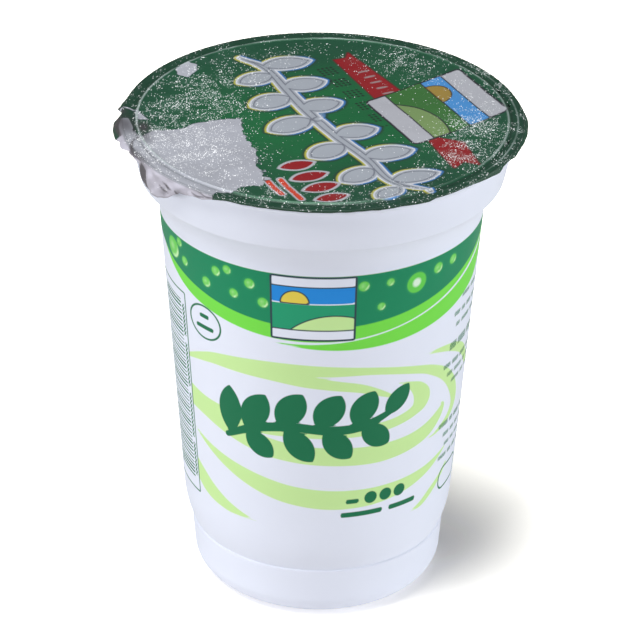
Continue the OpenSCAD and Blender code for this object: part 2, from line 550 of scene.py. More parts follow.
@dataclass
class CupForm:
    """Turned outline of the cup, from the standing face to the rim."""

    rim_r: float
    height: float
    rim_t: float = 1.1
    rim_w: float = 1.3
    rim_round: float = 0.35
    neck_h: float = 9.8
    neck_taper: float = 1.8
    cove_h: float = 7.2
    cove_w: float = 3.7
    wall_taper: float = 4.5
    band_h: float = 8.0
    band_w: float = 1.6
    foot_h: float = 11.4
    foot_taper: float = 0.5
    foot_round: float = 5.4
    ring_w: float = 1.9
    hollow_d: float = 1.0
    hollow_edge: float = 1.6
    top_sink: float = 2.0
    bend_share: float = 0.6
    columns: int = 512
    wall_rows: int = 118

    def __post_init__(self) -> None:
        """Work out the heights and radii that follow from the sizes."""
        self.neck_z = self.height - self.neck_h
        self.wall_top_z = self.neck_z - self.cove_h
        self.wall_low_z = self.foot_h + self.band_h
        self.neck_top_r = self.rim_r - self.rim_w
        self.neck_low_r = self.neck_top_r - self.neck_taper
        self.wall_top_r = self.neck_low_r - self.cove_w
        self.wall_low_r = self.wall_top_r - self.wall_taper
        self.foot_top_r = self.wall_low_r - self.band_w
        self.foot_low_r = self.foot_top_r - self.foot_taper

    @staticmethod
    def bow(a: Pair, b: Pair, c: Pair, count: int) -> Array:
        """Points of the quadratic curve (1-t)^2 a + 2t(1-t) b + t^2 c, without its start."""
        t = (np.arange(1, count + 1) / count)[:, None]
        return (1 - t)**2 * np.array(a) + 2 * t * (1 - t) * np.array(b) + t**2 * np.array(c)

    def outline(self) -> Array:
        """Radius and height of each ring, from the hollow under the foot to the rim's top.

        Straight stretches are evenly spaced, the foot's edge is an arc, and the coves and
        softened edges are quadratic curves.
        """
        slope = self.wall_taper / (self.wall_top_z - self.wall_low_z)
        out_r = self.foot_low_r - self.foot_round
        in_r = out_r - self.ring_w
        hollow = (in_r - self.hollow_edge, self.hollow_d)
        turn = np.radians(np.linspace(-90, 0, 13))[:, None]
        foot = np.hstack([out_r + self.foot_round * np.cos(turn), self.foot_round * (1 + np.sin(turn))])
        share = self.bend_share
        foot_side = (self.foot_low_r + share * self.foot_taper,
                     self.foot_round + share * (self.foot_h - self.foot_round))
        ledge = (self.foot_top_r - 0.02, self.foot_h - 0.35)
        ledge_top = (self.foot_top_r, self.foot_h - 0.02)
        groove = (self.foot_top_r - 0.2, self.foot_h + 0.03)
        groove_in = (self.foot_top_r - 0.3, self.foot_h + 0.1)
        band = (self.foot_top_r - 0.1, self.foot_h + 0.5)
        band_bend = (self.wall_low_r - share * slope * self.band_h,
                     self.wall_low_z - share * self.band_h)
        wall_z = np.linspace(self.wall_low_z, self.wall_top_z, self.wall_rows + 1)[1:, None]
        wall = np.hstack([self.wall_low_r + slope * (wall_z - self.wall_low_z), wall_z])
        wall_top = (self.wall_top_r, self.wall_top_z)
        cove_bend = (self.wall_top_r + share * slope * self.cove_h,
                     self.wall_top_z + share * self.cove_h)
        neck_edge = (self.neck_low_r, self.neck_z)
        cove_end = (self.neck_low_r - 0.28, self.neck_z - 0.14)
        neck_start = (self.neck_low_r + 0.07, self.neck_z + 0.35)
        rim_low = self.height - self.rim_t
        neck_end = (self.neck_top_r - 0.2, rim_low - 0.9)
        turn = np.radians(np.linspace(-90, 90, 7))[:, None]
        r = self.rim_round
        middle = rim_low + self.rim_t / 2 + np.sign(np.sin(turn)) * (self.rim_t / 2 - r)
        rim = np.hstack([self.rim_r - r + r * np.cos(turn), middle + r * np.sin(turn)])
        sunk = self.height - self.top_sink
        return np.vstack([
            [(in_r * 0.35, self.hollow_d), (in_r * 0.7, self.hollow_d), hollow],
            self.bow(hollow, (in_r - 0.6, self.hollow_d), (in_r - 0.3, 0.25), 5),
            [(in_r, 0.0)],
            foot,
            [foot_side, ledge],
            self.bow(ledge, ledge_top, groove, 4),
            self.bow(groove, groove_in, band, 3),
            self.bow(band, band_bend, (self.wall_low_r, self.wall_low_z), 9),
            wall,
            self.bow(wall_top, cove_bend, cove_end, 10),
            self.bow(cove_end, neck_edge, neck_start, 4),
            np.linspace(neck_start, neck_end, 5)[1:],
            self.bow(neck_end, (self.neck_top_r, rim_low), (self.neck_top_r + 0.5, rim_low), 4),
            rim,
            [(self.rim_r - 5.0, self.height), (self.rim_r - 6.0, sunk), (self.rim_r * 0.4, sunk)],
        ])

    def rings(self) -> tuple[Array, Array, Array]:
        """Directions, heights and points of the cup's rings.

        Each point is (r sin a, -r cos a, z) for its direction a. The wall swells and sinks
        by a few hundredths of a millimetre, as a drawn plastic wall does.

        Returns:
            Directions in degrees and heights in millimetres, both as grids, and the points
            in metres.
        """
        profile = self.outline()
        angle = np.linspace(-180, 180, self.columns, endpoint=False)
        a, r = np.meshgrid(angle, profile[:, 0])
        z = np.repeat(profile[:, 1:], self.columns, axis=1)
        free = np.clip((z - 2) / 6, 0, 1) * np.clip((self.height - self.rim_t - z) / 6, 0, 1)
        r = r + 0.035 * free * ripples(a, z, 11, (2, 9), 0.02, 9)
        turn = np.radians(a)
        return a, z, np.stack([r * np.sin(turn), -r * np.cos(turn), z], -1) * MM


@dataclass
class WallPrint:
    """Everything printed on the cup's wall, as distances in millimetres.

    The design fills half of the way round and is printed twice, front and back.
    """

    top_z: float
    low_z: float
    mid_r: float = 28.2
    bubbles: tuple[Knot, ...] = (
        (-64.5, 74.8, 2.1), (-59.5, 77.0, 0.9), (-56.5, 73.7, 0.95), (-44.5, 72.0, 1.05),
        (-39.5, 75.3, 1.0), (-34.5, 76.5, 0.9), (-32, 71.9, 0.95), (-25.5, 74.9, 1.05),
        (-20.5, 71.4, 1.05), (15.2, 75.7, 1.05), (22, 70.8, 0.8), (25, 75.7, 0.8), (45.5, 75.5, 1.1),
        (53.5, 75.7, 1.0))
    ring_at: Pair = (35.8, 74.1)
    ring_r: float = 2.15
    core_r: float = 0.9

    def across(self, angle: Array | float) -> Array | float:
        """Arc length from the front for a direction, on the wall's middle radius."""
        return np.radians(angle) * self.mid_r

    def arched(self, knots: list[Knot]) -> list[Knot]:
        """Turn a stroke's directions into arc lengths."""
        return [(float(self.across(a)), z, w) for a, z, w in knots]

    def bands(self, a: Array, z: Array) -> dict[str, Array]:
        """The green fields under the wall's top edge.

        Each lower edge is a parabola, low + bend (a - middle)^2 with a in degrees.
        """
        def edge(low: float, bend: float, middle: float) -> Array:
            """Height of a parabola's edge."""
            return low + bend * (a - middle)**2

        deep = np.maximum(z - self.top_z, edge(66.9, 0.00127, -2) - z)
        lime = np.maximum(z - self.top_z, edge(63.9, 0.00149, -5) + 0.0045 * np.maximum(-a - 50, 0)**2 - z)
        rise = 0.035 * np.maximum(a - 72, 0)**2
        tail = np.maximum(z - edge(63.3, 0.00122, -12.0), edge(62.05, 0.0014, 13) + rise - z)
        return {"deep": deep, "lime": lime, "tail": tail}

    def swirls(self, x: Array, z: Array) -> Array:
        """The pale brush strokes that wind around the wall's middle."""
        strokes = (
            [(-60, 52.9, 0.3), (-50, 54.9, 0.7), (-40, 56.3, 1.0), (-20, 57.5, 1.2), (0, 57.5, 1.2),
             (20, 56.8, 0.8), (40, 54.4, 0.85), (50, 52.2, 1.1), (58, 49.3, 1.3), (64, 45.6, 1.4),
             (66.5, 42, 1.2), (63, 39.3, 0.8), (55, 37.7, 0.4), (49, 37.2, 0.05)],
            [(-60, 52.8, 0.3), (-50, 54.4, 0.6), (-40, 55.4, 0.8), (-20, 55.8, 1.1), (-5, 55.2, 1.3),
             (5, 54.4, 1.1), (15, 53.4, 0.95), (22, 52, 0.75), (28, 50.5, 0.4)],
            [(31, 52.9, 0.05), (36, 51.8, 0.6), (41, 49.9, 1.5), (43.3, 47.4, 2.1), (40, 45.5, 1.3),
             (32, 44.3, 1.05), (20, 43.7, 1.1), (5, 43.5, 1.0), (-10, 43.6, 1.0), (-20, 43.7, 1.3),
             (-35, 44, 1.6), (-50, 44.2, 1.9), (-62, 45, 2.2)],
            [(-62, 43.5, 1.0), (-50, 42.6, 1.1), (-40, 41.6, 1.5), (-30, 40.6, 1.9), (-20, 39.6, 2.1),
             (-10, 38.9, 2.0), (0, 38.5, 2.0), (20, 38, 2.0), (30, 38.1, 1.95), (40, 38.6, 1.8),
             (48, 39.6, 1.7), (54, 41.3, 1.3), (57, 43.0, 0.6), (55.5, 44, 0.05)],
            [(-58, 37.3, 0.1), (-50, 35.4, 0.6), (-40, 33.4, 1.2), (-30, 31.7, 1.7), (-20, 30.3, 2.0),
             (-10, 29.3, 2.1), (5, 28.5, 2.15), (20, 28.4, 2.0), (30, 28.7, 1.8), (40, 29.3, 1.45),
             (50, 30.3, 1.0), (58, 31.6, 0.5), (64, 32.7, 0.05)],
            [(-63, 30, 1.5), (-56, 27, 2.0), (-50, 25, 1.9), (-42, 23.4, 1.3), (-34, 22.4, 0.7),
             (-26, 21.8, 0.05)],
            [(42, 22, 0.05), (48, 22.6, 0.6), (54, 24.2, 0.8), (60, 25.9, 0.6), (66, 28, 0.3)],
            [(43, 57.1, 0.05), (50, 56.6, 0.45), (58, 55.5, 0.8), (66, 53.7, 1.0), (72, 51.5, 1.0),
             (78, 48, 0.9)])
        drawn = merge(*(stroke(x, z, self.arched(knots)) for knots in strokes))
        return np.maximum(drawn, self.low_z + 2.5 - z)

    def sprig(self, x: Array, z: Array) -> Array:
        """The dark leafy sprig across the middle: a stem with plump leaves on both sides."""
        stem = [(-38, 40.0, 0.6), (-25, 43.4, 0.95), (-10, 44.8, 1.0), (5, 44.3, 1.0), (18, 44.9, 0.95),
                (33, 48.0, 0.5)]
        leaves = (
            (-36.5, 40.6, -36, 51.2, 2.6), (-29.5, 42.8, -20.5, 51.2, 2.8), (-29, 42.2, -18, 37.4, 2.4),
            (-15.5, 44.8, -6, 52.3, 2.8), (-13, 44.2, -2, 37.3, 2.6), (-0.5, 45.0, 8.5, 52.1, 2.8),
            (2, 44.0, 13, 37.9, 2.5), (13.5, 45.3, 21.5, 52.3, 2.6), (17, 44.6, 28.5, 40.0, 2.4),
            (26.5, 46.4, 36, 52.2, 2.1))
        shapes = [leaf(x, z, (self.across(a), b), (self.across(c), d), w) for a, b, c, d, w in leaves]
        return merge(stroke(x, z, self.arched(stem)), *shapes)

    def panel(self, x: Array, z: Array) -> dict[str, Array]:
        """The picture panel under the wall's top edge."""
        picture = Picture(half_w=7.85, half_h=6.75, strip=2.1, sky=3.6, sun_x=-3.4, sun_r=2.7)
        return picture.fields("panel", (x - self.across(-2.5)) * 1.065, z - 71.1)

    def fine_marks(self, x: Array, z: Array) -> Array:
        """Plain bars and dots under the sprig, and two bars inside the oval stamp."""
        bars = ((11.5, 17.0, 27.9, 0.5), (9.5, 27.5, 24.9, 0.55), (30.5, 44.0, 24.9, 0.55))
        shapes = [slab(x, z, (self.across((a + b) / 2), c), (self.across((b - a) / 2), h), h * 0.6)
                  for a, b, c, h in bars]
        dots = [disc(x, z, (self.across(a), 28.3), 1.35) for a in (22.0, 28.6, 35.2)]
        stamp = [slab(x, z, (self.across(-47), c), (w, 0.45), 0.25) for c, w in ((64.0, 1.2), (61.6, 2.3))]
        return merge(*shapes, *dots, *stamp)

    def small_print(self, x: Array, z: Array) -> Array:
        """Areas of hatch: rows of short runs at the side, and a column beside the stripes."""
        draw = np.random.default_rng(5)
        rows = ((64, 65.4, 0.42), (59, 62.3, 0.5), (61, 59.7, 0.45), (58, 55.4, 0.8), (55, 51.5, 0.5),
                (58, 49.3, 0.45), (62, 47.2, 0.4), (56, 38.0, 0.55), (60, 35.4, 0.45), (62, 33.0, 0.4),
                (58, 30.4, 0.45))
        runs = []
        for start, row_z, half in rows:
            while start < 84:
                end = start + draw.uniform(3.0, 8.0)
                runs.append(((start + end) / 2, row_z, self.across((end - start) / 2), half))
                start = end + 1.3
        for low, high in ((25.5, 33.0), (34.2, 44.0), (45.5, 55.0), (56.5, 63.5)):
            runs.append((-60.6, (low + high) / 2, 0.42, (high - low) / 2))
        return merge(*(slab(x, z, (self.across(a), c), (w, h), 0.1) for a, c, w, h in runs))

    def stripes(self, x: Array, z: Array) -> dict[str, Array]:
        """The striped tag at the side, a white box and the area of its stripes."""
        box = slab(x, z, (self.across(-70), 44.2), (self.across(11.3), 22.0), 0.1)
        stripe = slab(x, z, (self.across(-70.8), 44.4), (self.across(8.6), 19.8), 0.1)
        return {"tag": box, "stripe": stripe}

    def outlines(self, x: Array, z: Array) -> Array:
        """Shapes that show only as a thin line: the oval stamp and the small rounded mark."""
        oval = ellipse(x, z, (self.across(-47), 62.7), (4.0, 3.5))
        mark = slab(x, z, (self.across(70), 25.0), (self.across(9.5), 2.4), 2.0)
        return np.minimum(oval, mark)

    def bubble_fields(self, a: Array, z: Array) -> dict[str, Array]:
        """Distance to the nearest bubble, and the light on it.

        Light is a glow at the middle plus a crescent at the lower right edge.
        """
        reach = np.full(a.shape, np.inf)
        light = np.zeros(a.shape)
        for at, up, radius in self.bubbles:
            dx, dz = self.across(a - at) * 1.07, z - up
            far = np.hypot(dx, dz)
            rim = np.exp(-((far - 0.84 * radius) / (0.17 * radius))**2)
            side = np.clip((dx - dz) / (far + 0.01) / 1.2, 0, 1)
            middle = np.exp(-(np.hypot(dx + 0.2 * radius, dz - 0.1 * radius) / (0.45 * radius))**2)
            reach = np.minimum(reach, far - radius)
            glow = 0.35 * middle + 0.85 * rim * side**2
            light = np.maximum(light, np.where(far < 1.4 * radius, glow, 0))
        ring = np.hypot(self.across(a - self.ring_at[0]) * 1.07, z - self.ring_at[1])
        core = ring - self.core_r
        return {"bubble": np.minimum(reach, ring - self.ring_r), "bubble_light": light, "bubble_core": core}

    def fields(self, angle: Array, z: Array) -> dict[str, Array]:
        """All of the print's distances for directions and heights on the cup.

        Args:
            angle: Directions in degrees.
            z: Heights in millimetres.

        Returns:
            Named distances, negative where there is ink.
        """
        a = (angle + 90) % 180 - 90
        x = self.across(a)
        made = self.bands(a, z) | self.panel(x, z) | self.stripes(x, z) | self.bubble_fields(a, z)
        return made | {
            "swirl": self.swirls(x, z), "sprig": self.sprig(x, z), "marks": self.fine_marks(x, z),
            "line": self.outlines(x, z), "print": self.small_print(x, z), "along": x}


@dataclass(frozen=True)
class PrintedPlastic:
    """White plastic with green, lime and pale print."""

    white: Colour = (0.785, 0.822, 0.955)
    deep: Colour = (0.012, 0.245, 0.115)
    lime: Colour = (0.185, 0.73, 0.075)
    pale: Colour = (0.575, 0.83, 0.36)
    dark: Colour = (0.012, 0.165, 0.075)
    line: Colour = (0.03, 0.06, 0.08)
    sky: Colour = (0.02, 0.26, 0.74)
    field: Colour = (0.02, 0.33, 0.17)
    sun: Colour = (0.78, 0.62, 0.09)
    bubble: Colour = (0.13, 0.62, 0.085)
    bubble_rim: Colour = (0.05, 0.40, 0.12)
    bubble_core: Colour = (0.72, 0.9, 0.74)
    glow: Colour = (0.74, 0.95, 0.62)
    roughness: float = 0.46
    specular: float = 0.16
    stripe_step: float = 0.8
    hatch_step: float = 0.62
    hatch_lean: float = 0.7

    def dress(self, piece: Piece, ink: Tree, grain: Tree) -> None:
        """Give the piece this material.

        Args:
            piece: The cup, with the print's distances as attributes.
            ink: The group that lays one ink over another colour.
            grain: The group of surface unevenness.
        """
        material, sheet, shader = new_material("printed_plastic")
        uneven = sheet.group(grain, Fine=0.25, Broad=1.0).outputs
        cloudy = sheet.scale(uneven["Tone"], 0.3, 0.7, 0.0, 0.35)
        inks = Inks(sheet, ink, sheet.blend(cloudy, self.white, tuple(0.965 * c for c in self.white)), 0.06)
        self.print_wall(inks)
        sheet.put(shader.inputs["Base Color"], inks.colour)
        rough = sheet.scale(uneven["Tone"], 0.3, 0.7, self.roughness - 0.04, self.roughness + 0.06)
        sheet.put(shader.inputs["Roughness"], rough)
        sheet.bump(shader, uneven["Height"], 0.12, 0.00015)
        shader.inputs["Specular IOR Level"].default_value = self.specular
        piece.data.materials.append(material)

    def print_wall(self, inks: Inks) -> None:
        """Print the wall, from the pale strokes up to the picture panel."""
        lit = inks.sheet.blend(inks.sheet.field("bubble_light"), self.bubble, self.glow)
        bars, hatch = self.fine_pattern(inks.sheet)
        for name, tint, reach, soft, cover in (
                ("swirl", self.pale, 0.0, 0.1, 1.0), ("tail", self.lime, 0.0, 0.1, 1.0),
                ("lime", self.lime, 0.0, 0.1, 1.0), ("deep", self.deep, 0.0, 0.1, 1.0),
                ("bubble", self.bubble_rim, 0.15, 0.4, 0.5), ("bubble", lit, 0.0, 0.14, 1.0),
                ("bubble_core", self.bubble_core, 0.0, 0.25, 1.0), ("sprig", self.dark, 0.0, 0.08, 1.0),
                ("tag", self.white, 0.0, 0.1, 1.0), ("stripe", self.dark, 0.0, 0.08, bars),
                ("print", self.dark, 0.0, 0.15, hatch), ("marks", self.dark, 0.0, 0.08, 1.0)):
            inks.lay(name, tint, reach, soft, cover)
        inks.line("tag", self.dark, 0.16)
        inks.line("line", self.dark, 0.2)
        inks.lay("panel", self.field)
        inks.lay("panel_sky", self.sky)
        inks.line("panel_sky", self.white, 0.12)
        for name, tint in (("panel_sun", self.sun), ("panel_hill", self.pale), ("panel_strip", self.white)):
            inks.lay(name, tint)
            inks.line(name, self.line, 0.13)
        inks.line("panel", self.line, 0.2)

    def fine_pattern(self, sheet: Sheet) -> tuple[Socket, Socket]:
        """Masks of level stripes of uneven weight and of an even slanted hatch.

        Each level step of the wall holds one stripe, and a random draw sets its weight.

        Returns:
            The stripes' mask and the hatch's mask.
        """
        up, = sheet.place_mm("Z")
        step = sheet.math("DIVIDE", up, self.stripe_step)
        cell = sheet.node("ShaderNodeCombineXYZ")
        sheet.put(cell.inputs["X"], sheet.math("FLOOR", step))
        draw = sheet.node("ShaderNodeTexWhiteNoise", noise_dimensions="2D")
        sheet.put(draw.inputs["Vector"], cell.outputs[0])
        weight = sheet.scale(draw.outputs["Value"], 0, 1, 0.22, 0.55)
        bars = sheet.math("LESS_THAN", sheet.math("FRACT", step), weight)
        slanted = sheet.minus(sheet.field("along"), sheet.times(up, self.hatch_lean))
        comb = sheet.minus(sheet.math("FRACT", sheet.math("DIVIDE", slanted, self.hatch_step)), 0.5)
        return bars, sheet.math("LESS_THAN", sheet.math("ABSOLUTE", comb), 0.34)


class Cup:
    """The printed cup."""

    def __init__(self) -> None:
        """Take the cup's reach from its CAD node."""
        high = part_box(Part.CUP.value)[1]
        self.form = CupForm(rim_r=high.x / MM, height=high.z / MM)
        self.art = WallPrint(top_z=self.form.wall_top_z, low_z=self.form.wall_low_z)

    def build(self, ink: Tree, grain: Tree) -> Piece:
        """Make the cup's mesh, its print and its material."""
        angle, z, points = self.form.rings()
        low = np.array([[0, 0, self.form.hollow_d * MM]])
        high = np.array([[0, 0, (self.form.height - self.form.top_sink) * MM]])
        piece = turned_piece("cup_body", points, low, high, self.art.fields(angle, z))
        PrintedPlastic().dress(piece, ink, grain)
        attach(piece, "root")
        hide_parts(Part.CUP.value)
        return piece


# ---------------------------------------------------------------- the foil lid


@dataclass
class FoilForm:
    """Crinkled foil over the rim: panel, ridge, rim band, bend and torn skirt."""

    rim_r: float
    seat_z: float
    gap: float = 0.05
    thick: float = 0.12
    lift: float = 0.18
    ridge_in: float = 2.75
    ridge_h: float = 0.25
    columns: int = 720
    skirt_rows: int = 14
    panel_rows: int = 74

    hang: tuple[Pair, ...] = (
        (-150, 0.4), (-120, 0.5), (-104, 0.8), (-99, 1.3), (-95, 0.9), (-92, 0.7), (-90, 1.4), (-84, 1.5),
        (-79, 1.2), (-76, 0.9), (-69, 0.5), (-65, 0.45), (-62.5, 1.0), (-61, 2.6), (-59.5, 4.1),
        (-56, 4.8), (-52, 4.9), (-49.5, 4.4), (-47, 3.5), (-45, 2.6), (-42.5, 1.6), (-40.5, 1.7),
        (-38, 1.2), (-35, 1.4), (-33, 1.0), (-30, 0.5), (-27, 0.25), (-20, 0.2), (0, 0.26), (14, 0.22),
        (16, 0.34), (22, 0.2), (28, 0.42), (31, 0.5), (33, 0.12), (38, 0.22), (45, 0.12), (52, 0.45),
        (57, 0.75), (59, 0.9), (61, 0.25), (66, 0.35), (69, 0.7), (72, 0.4), (85, 0.7), (95, 0.9),
        (110, 0.6), (130, 0.4), (150, 0.5), (165, 0.35))
    stand: tuple[Pair, ...] = (
        (-170, 0.05), (-130, 0.1), (-110, 0.3), (-106, 0.3), (-103, 0.35), (-101, 0.95), (-97.5, 1.15),
        (-95.8, 0.6), (-94.2, -0.1), (-92.2, -0.05), (-90, 1.4), (-85, 1.6), (-79, 1.5), (-77, 1.0),
        (-73, 1.05), (-69, 0.6), (-65, 0.45), (-62, 0.15), (-58, 0.3), (-50, 0.35), (-44, 0.2),
        (-35, 0.12), (-27, 0.03), (45, 0.0), (52, 0.1), (60, 0.3), (64, 0.1), (70, 0.35), (82, 0.6),
        (92, 0.8), (104, 0.5), (120, 0.3), (150, 0.35), (165, 0.1))

    def drop(self, a: Array) -> Array:
        """How far the cut edge hangs below the rim's top in each direction."""
        fine = 0.07 * ripples(a, np.zeros_like(a), 3, (14, 90), 0, 18)
        return np.interp(a, *zip(*self.hang), period=360) + fine * (0.6 + 0.5 * swell(a, -55, 22))

    def flare(self, a: Array) -> Array:
        """How far the cut edge stands out past its bend in each direction."""
        fine = 0.04 * ripples(a, np.zeros_like(a), 4, (9, 60), 0, 14)
        return np.interp(a, *zip(*self.stand), period=360) + fine

    def rings(self) -> tuple[Array, Array, Array]:
        """Directions, distances along the foil and points of the foil's rings.

        The section runs out under the foil, down the skirt's inside, round its cut edge,
        up its outside, over the rim and in to the middle. Crinkles are ripples added to
        the height on top and to the radius on the skirt.

        Returns:
            Directions in degrees, a coordinate that is the radius on top and the rim's
            radius plus the drop on the skirt, and the points in metres.
        """
        angle = np.linspace(-180, 180, self.columns, endpoint=False)
        drop, flare = self.drop(angle), self.flare(angle)
        bend_r = self.rim_r + self.gap
        top = self.seat_z + self.lift
        rows_r: list[Array] = []
        rows_z: list[Array] = []
        rows_s: list[Array] = []

        def add(r: Array | float, z: Array | float, s: Array | float) -> None:
            """Add one ring."""
            for store, value in ((rows_r, r), (rows_z, z), (rows_s, s)):
                store.append(np.broadcast_to(np.asarray(value, float), angle.shape))

        for r in (12.0, 30.0, self.rim_r - 3.6):
            add(r, self.seat_z - 0.6, r)
        add(self.rim_r - 2.6, self.seat_z, self.rim_r - 2.6)
        add(bend_r, self.seat_z, bend_r)
        for k in range(1, self.skirt_rows + 1):
            t = k / self.skirt_rows
            add(bend_r + flare * t**0.8, self.seat_z - drop * t, bend_r + drop * t)
        for k in range(self.skirt_rows, -1, -1):
            t = k / self.skirt_rows
            low_edge = self.seat_z - drop * t + 0.02 * (k < self.skirt_rows)
            add(bend_r + self.thick + flare * t**0.8, low_edge, bend_r + drop * t)
        for turn in np.radians([20, 45, 70, 90]):
            add(bend_r + self.thick * math.cos(turn), self.seat_z + self.lift * math.sin(turn), bend_r)
        first_top = len(rows_r)
        ridge_r = self.rim_r - self.ridge_in
        radii = np.concatenate([np.linspace(bend_r - 0.25, ridge_r + 0.9, 7),
                                np.linspace(ridge_r + 0.75, ridge_r - 0.75, 11),
                                np.linspace(ridge_r - 0.95, 2.0, self.panel_rows)])
        for r in radii:
            add(r, top, r)
        r, z, s = (np.array(rows) for rows in (rows_r, rows_z, rows_s))
        a = np.broadcast_to(angle, r.shape)
        self.relief(a, r, z, s, first_top)
        turn = np.radians(a)
        return a, s, np.stack([r * np.sin(turn), -r * np.cos(turn), z], -1) * MM

    def relief(self, a: Array, r: Array, z: Array, s: Array, first_top: int) -> None:
        """Add the ridge, the sag of the panel and all crinkles to the rings in place."""
        turn = np.radians(a)
        x, y = r * np.sin(turn), -r * np.cos(turn)
        ridge_r = self.rim_r - self.ridge_in
        on_top = np.zeros_like(z)
        on_top[first_top:] = 1.0
        ridge = self.ridge_h * np.exp(-((r - ridge_r) / 0.3)**2)
        ridge = ridge - 0.16 * np.exp(-((r - ridge_r - 0.85) / 0.42)**2)
        inside = np.clip((ridge_r - 0.6 - r) / 5, 0, 1)
        sag = -0.22 * inside * (1 - 0.3 * np.cos(r / 9))
        broad = plane_ripples(x, y, 21, (16, 34), 9)
        small = plane_ripples(x, y, 22, (3.5, 8), 14)
        z += on_top * (ridge + sag + inside * (0.10 * broad + 0.022 * small))
        pleat = ripples(a, r, 23, (30, 90), 0.05, 16)
        edge = np.exp(-((r - ridge_r) / 2.2)**2)
        z += on_top * edge * 0.035 * pleat
        past = np.clip(s - self.rim_r - self.gap, 0, None) * (on_top < 0.5)
        rough = np.clip(past / 0.5, 0, 1)
        tab = swell(a, -54, 22, 8)
        crush = ripples(a, s, 24, (24, 110), 0.45, 30) * 0.75
        folds = np.abs(ripples(a, s, 25, (12, 48), 0.2, 14)) - 0.4
        r += rough * ((0.04 + 0.13 * tab) * crush + (0.05 + 0.30 * tab + 0.2 * swell(a, -92, 16)) * folds)
        z += rough * 0.06 * crush * (0.3 + tab)


